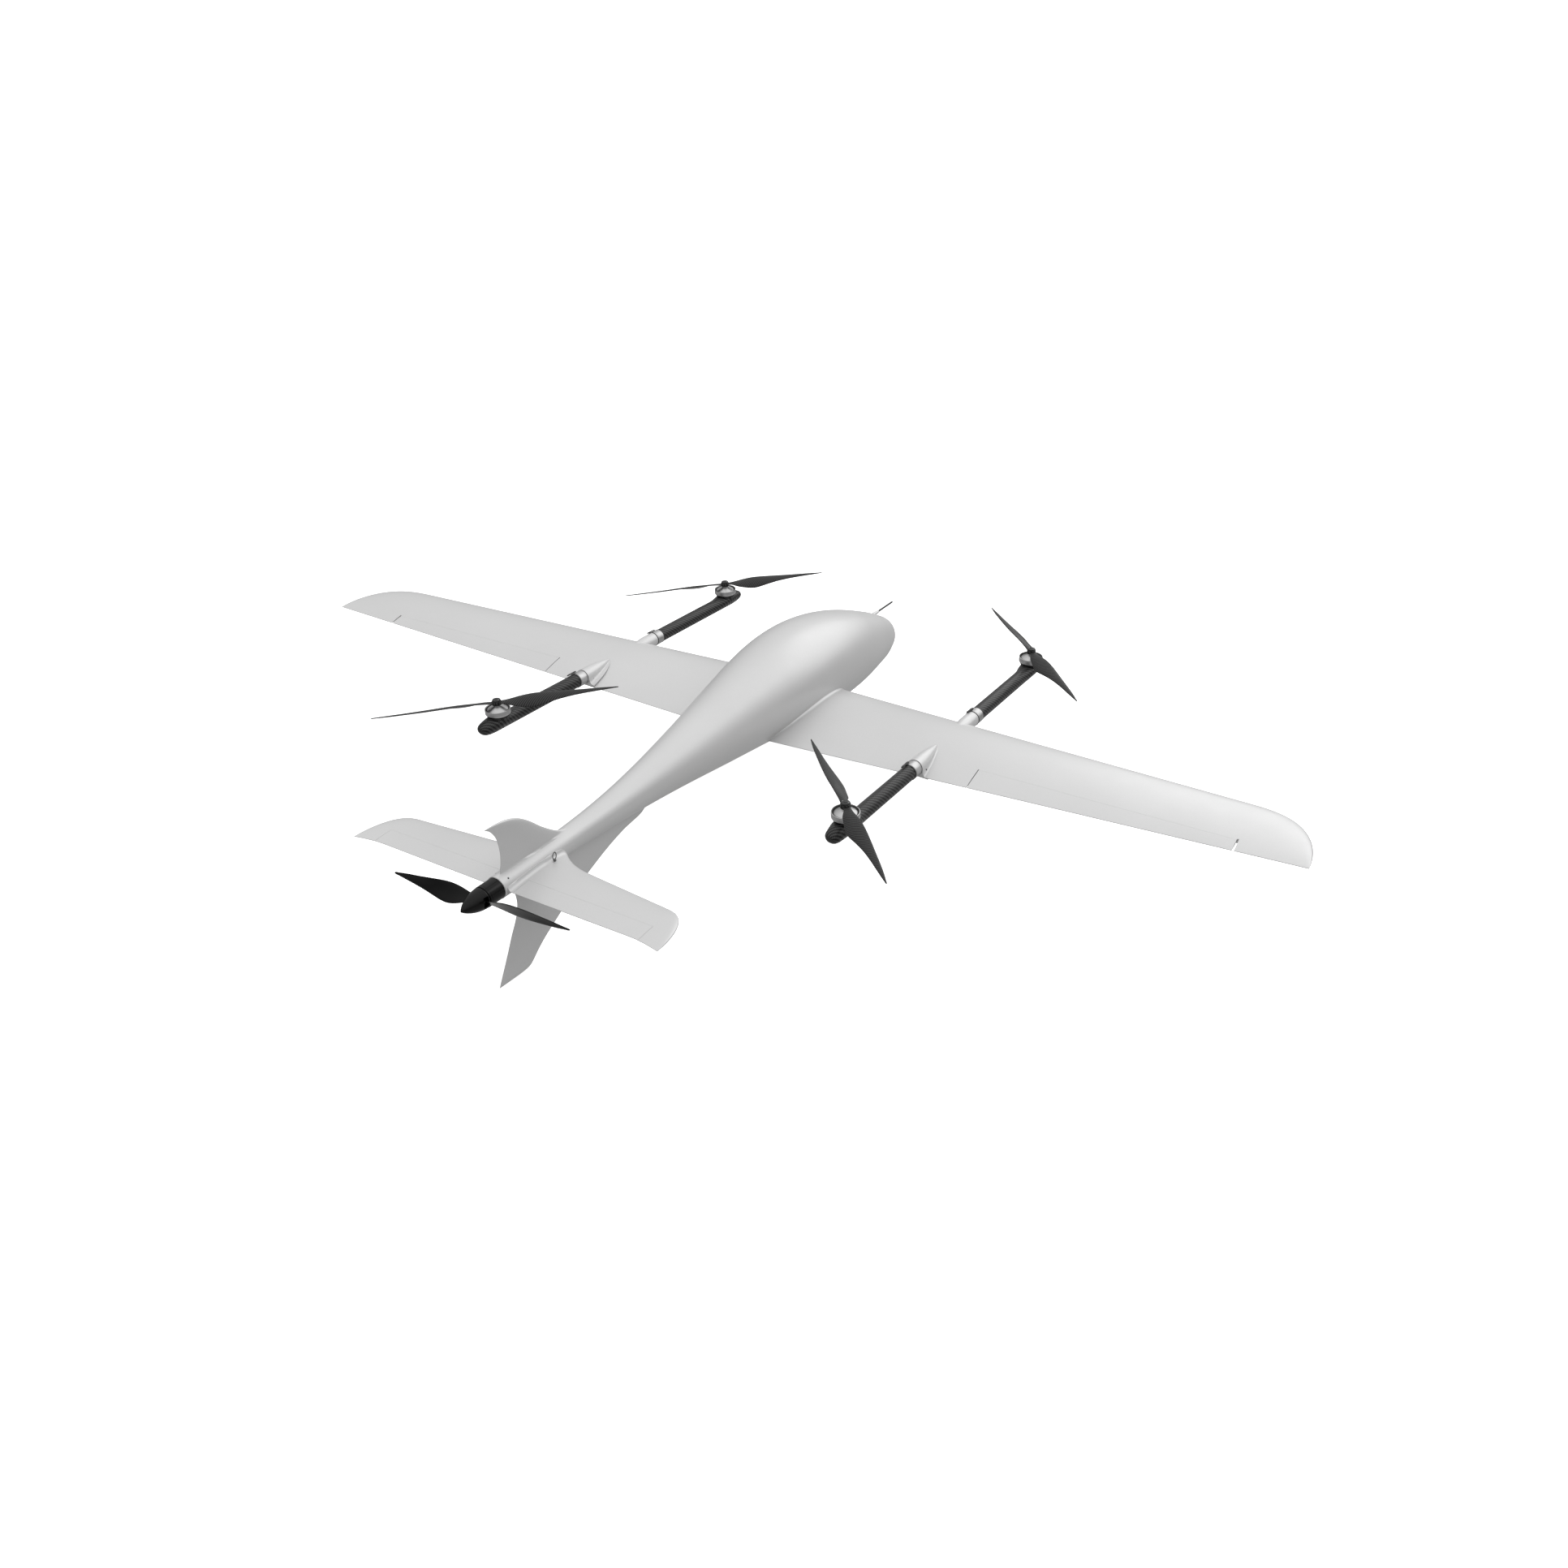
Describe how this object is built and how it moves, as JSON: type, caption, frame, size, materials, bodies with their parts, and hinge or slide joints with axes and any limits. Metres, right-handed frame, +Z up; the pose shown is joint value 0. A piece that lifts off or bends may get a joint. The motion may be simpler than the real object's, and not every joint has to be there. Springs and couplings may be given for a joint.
{
  "type": "fixed wing drone",
  "caption": "Fixed wing drone with vertical take-off: blended fuselage, tapered wing, lift rotors on carbon booms, cruciform tail and a pusher propeller.",
  "frame": {"origin": "middle of the overall box in plan, on the surface that the landing feet and the ventral fin stand on", "axes": "+Z up, nose towards -Y, +X to the left side of the aircraft (right wing at -X); fuselage axis level"},
  "size_m": [2.4996, 1.6869, 0.3756],
  "materials": {
    "composite_paint": "satin light grey gelcoat over composite skin",
    "carbon_weave": "clear-coated carbon fibre twill",
    "gloss_black": "high gloss black",
    "machined_silver": "fine turned aluminium",
    "dark_polymer": "matt black moulded polymer",
    "rubber_pad": "matt rubber"
  },
  "bodies": {
    "airframe": {"aileron_servo_left": "dark_polymer", "aileron_servo_right": "dark_polymer", "battery_pack": "dark_polymer", "boom_collar_front_left": "machined_silver", "boom_collar_front_right": "machined_silver", "boom_collar_rear_left": "machined_silver", "boom_collar_rear_right": "machined_silver", "boom_fairing_rear_left": "composite_paint", "boom_fairing_rear_right": "composite_paint", "boom_front_left": "carbon_weave", "boom_front_right": "carbon_weave", "boom_rear_left": "carbon_weave", "boom_rear_right": "carbon_weave", "boom_stub_front_left": "composite_paint", "boom_stub_front_right": "composite_paint", "dorsal_fin": "composite_paint", "equipment_tray": "carbon_weave", "flight_controller": "dark_polymer", "fuselage_shell": "composite_paint", "landing_bow": "carbon_weave", "landing_foot_left": "rubber_pad", "landing_foot_right": "rubber_pad", "lift_motor_base_front_left": "dark_polymer", "lift_motor_base_front_right": "dark_polymer", "lift_motor_base_rear_left": "dark_polymer", "lift_motor_base_rear_right": "dark_polymer", "pitot_base": "composite_paint", "pitot_tube": "dark_polymer", "tail_motor": "gloss_black", "tailplane_left": "composite_paint", "tailplane_right": "composite_paint", "ventral_fin": "composite_paint", "wing_left": "composite_paint", "wing_right": "composite_paint", "wing_spar_joiner": "carbon_weave"},
    "aileron_left": {"aileron_left": "composite_paint"},
    "elevator_left": {"elevator_left": "composite_paint"},
    "quick_pin_left": {"quick_pin_left": "machined_silver"},
    "aileron_right": {"aileron_right": "composite_paint"},
    "elevator_right": {"elevator_right": "composite_paint"},
    "quick_pin_right": {"quick_pin_right": "machined_silver"},
    "lift_rotor_front_left": {"lift_motor_bell_front_left": "machined_silver", "lift_prop_front_left": "carbon_weave", "lift_prop_clamp_front_left": "dark_polymer"},
    "latch_front_left": {"boom_latch_front_left": "dark_polymer"},
    "lift_rotor_front_right": {"lift_motor_bell_front_right": "machined_silver", "lift_prop_front_right": "carbon_weave", "lift_prop_clamp_front_right": "dark_polymer"},
    "latch_front_right": {"boom_latch_front_right": "dark_polymer"},
    "lift_rotor_rear_left": {"lift_motor_bell_rear_left": "machined_silver", "lift_prop_rear_left": "carbon_weave", "lift_prop_clamp_rear_left": "dark_polymer"},
    "latch_rear_left": {"boom_latch_rear_left": "dark_polymer"},
    "lift_rotor_rear_right": {"lift_motor_bell_rear_right": "machined_silver", "lift_prop_rear_right": "carbon_weave", "lift_prop_clamp_rear_right": "dark_polymer"},
    "latch_rear_right": {"boom_latch_rear_right": "dark_polymer"},
    "pusher_rotor": {"spinner": "gloss_black", "pusher_prop": "gloss_black"},
    "belly_hatch": {"belly_hatch": "composite_paint"}
  },
  "joints": [
    {"name": "aileron_left_hinge", "type": "hinge", "parent": "airframe", "child": "aileron_left", "pos_m": [0.81725, -0.08213, 0.24285], "axis": [0.9969, 0.0696, 0.0361], "range_deg": [-25, 25]},
    {"name": "elevator_left_hinge", "type": "hinge", "parent": "airframe", "child": "elevator_left", "pos_m": [0.176, 0.7012, 0.2133], "axis": [1, 0, 0], "range_deg": [-25, 25]},
    {"name": "quick_pin_left_pull", "type": "slide", "parent": "airframe", "child": "quick_pin_left", "axis": [0, 0, 1], "range_m": [0, 0.016]},
    {"name": "aileron_right_hinge", "type": "hinge", "parent": "airframe", "child": "aileron_right", "pos_m": [-0.8385, -0.08064, 0.24363], "axis": [0.9969, -0.0696, -0.0361], "range_deg": [-25, 25]},
    {"name": "elevator_right_hinge", "type": "hinge", "parent": "airframe", "child": "elevator_right", "pos_m": [-0.176, 0.7012, 0.2133], "axis": [1, 0, 0], "range_deg": [-25, 25]},
    {"name": "quick_pin_right_pull", "type": "slide", "parent": "airframe", "child": "quick_pin_right", "axis": [0, 0, 1], "range_m": [0, 0.016]},
    {"name": "lift_rotor_front_left_spin", "type": "hinge", "parent": "airframe", "child": "lift_rotor_front_left", "pos_m": [0.445, -0.6514, 0.2782], "axis": [0, 0.0564, 0.9984], "continuous": true},
    {"name": "latch_front_left_lift", "type": "hinge", "parent": "airframe", "child": "latch_front_left", "pos_m": [0.45257, -0.3118, 0.24983], "axis": [-0.9272, 0, 0.3746], "range_deg": [0, 60]},
    {"name": "lift_rotor_front_right_spin", "type": "hinge", "parent": "airframe", "child": "lift_rotor_front_right", "pos_m": [-0.445, -0.6514, 0.2782], "axis": [0, 0.0564, 0.9984], "continuous": true},
    {"name": "latch_front_right_lift", "type": "hinge", "parent": "airframe", "child": "latch_front_right", "pos_m": [-0.43743, -0.3118, 0.24983], "axis": [-0.9272, 0, 0.3746], "range_deg": [0, 60]},
    {"name": "lift_rotor_rear_left_spin", "type": "hinge", "parent": "airframe", "child": "lift_rotor_rear_left", "pos_m": [0.445, 0.2513, 0.2792], "axis": [0, 0.0564, 0.9984], "continuous": true},
    {"name": "latch_rear_left_lift", "type": "hinge", "parent": "airframe", "child": "latch_rear_left", "pos_m": [0.45257, -0.0268, 0.24983], "axis": [0.9272, 0, -0.3746], "range_deg": [0, 60]},
    {"name": "lift_rotor_rear_right_spin", "type": "hinge", "parent": "airframe", "child": "lift_rotor_rear_right", "pos_m": [-0.445, 0.2513, 0.2792], "axis": [0, 0.0564, 0.9984], "continuous": true},
    {"name": "latch_rear_right_lift", "type": "hinge", "parent": "airframe", "child": "latch_rear_right", "pos_m": [-0.43743, -0.0268, 0.24983], "axis": [0.9272, 0, -0.3746], "range_deg": [0, 60]},
    {"name": "pusher_spin", "type": "hinge", "parent": "airframe", "child": "pusher_rotor", "pos_m": [0, 0.7972, 0.2113], "axis": [0, 1, 0], "continuous": true},
    {"name": "belly_hatch_hinge", "type": "hinge", "parent": "airframe", "child": "belly_hatch", "pos_m": [0, -0.6158, 0.148], "axis": [-1, 0, 0], "range_deg": [0, 45]}
  ],
  "couplings": [
    {"joint": "aileron_right_hinge", "follows": "aileron_left_hinge", "ratio": -1},
    {"joint": "elevator_right_hinge", "follows": "elevator_left_hinge", "ratio": 1}
  ]
}
